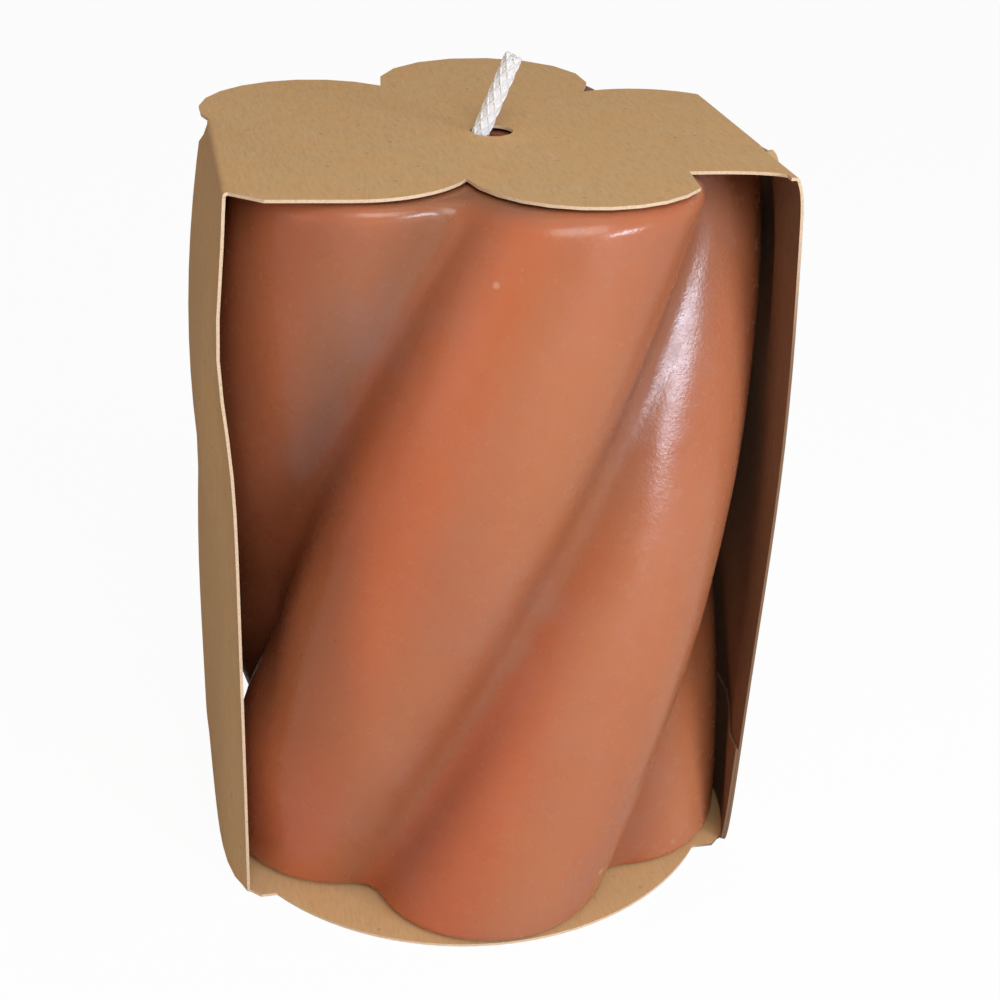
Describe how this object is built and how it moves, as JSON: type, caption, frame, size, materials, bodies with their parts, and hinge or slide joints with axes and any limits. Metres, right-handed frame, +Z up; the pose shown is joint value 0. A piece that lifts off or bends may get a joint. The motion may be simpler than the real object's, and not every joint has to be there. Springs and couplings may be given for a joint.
{
  "type": "twisted pillar candle in a paperboard wrap",
  "caption": "Lobed, twisted wax pillar candle standing in a folded kraft-board wrap that is open at the front and back, its wick leaning out of a hole in the top.",
  "frame": {"origin": "in the middle of the wrap, on the underside of its bottom card, which rests on the table", "axes": "+Z up along the candle, -Y out of the wrap's open front, +X to the right as seen from the front; the wrap's folds run along Y"},
  "size_m": [0.0898, 0.0888, 0.1318],
  "materials": {
    "wax": "satin",
    "wick_cotton": "matte",
    "tinplate": "satin",
    "kraft_board": "matte"
  },
  "bodies": {
    "candle": {"wax_body": "wax", "wick": "wick_cotton", "wick_tab": "tinplate"},
    "wrap": {"bottom_card": "kraft_board", "left_panel": "kraft_board", "glue_flap": "kraft_board"},
    "top": {"top_card": "kraft_board"},
    "right_side": {"right_panel": "kraft_board"}
  },
  "joints": [
    {"name": "wrap_slide", "type": "slide", "parent": "candle", "child": "wrap", "axis": [0, -1, 0], "range_m": [0, 0.09], "deforming": ["wick"]},
    {"name": "top_fold", "type": "hinge", "parent": "wrap", "child": "top", "pos_m": [-0.0393, 0, 0.1193], "axis": [0, -1, 0], "range_deg": [0, 95], "deforming": ["wick"]},
    {"name": "right_fold", "type": "hinge", "parent": "top", "child": "right_side", "pos_m": [0.0393, 0, 0.1193], "axis": [0, -1, 0], "range_deg": [0, 110]}
  ]
}
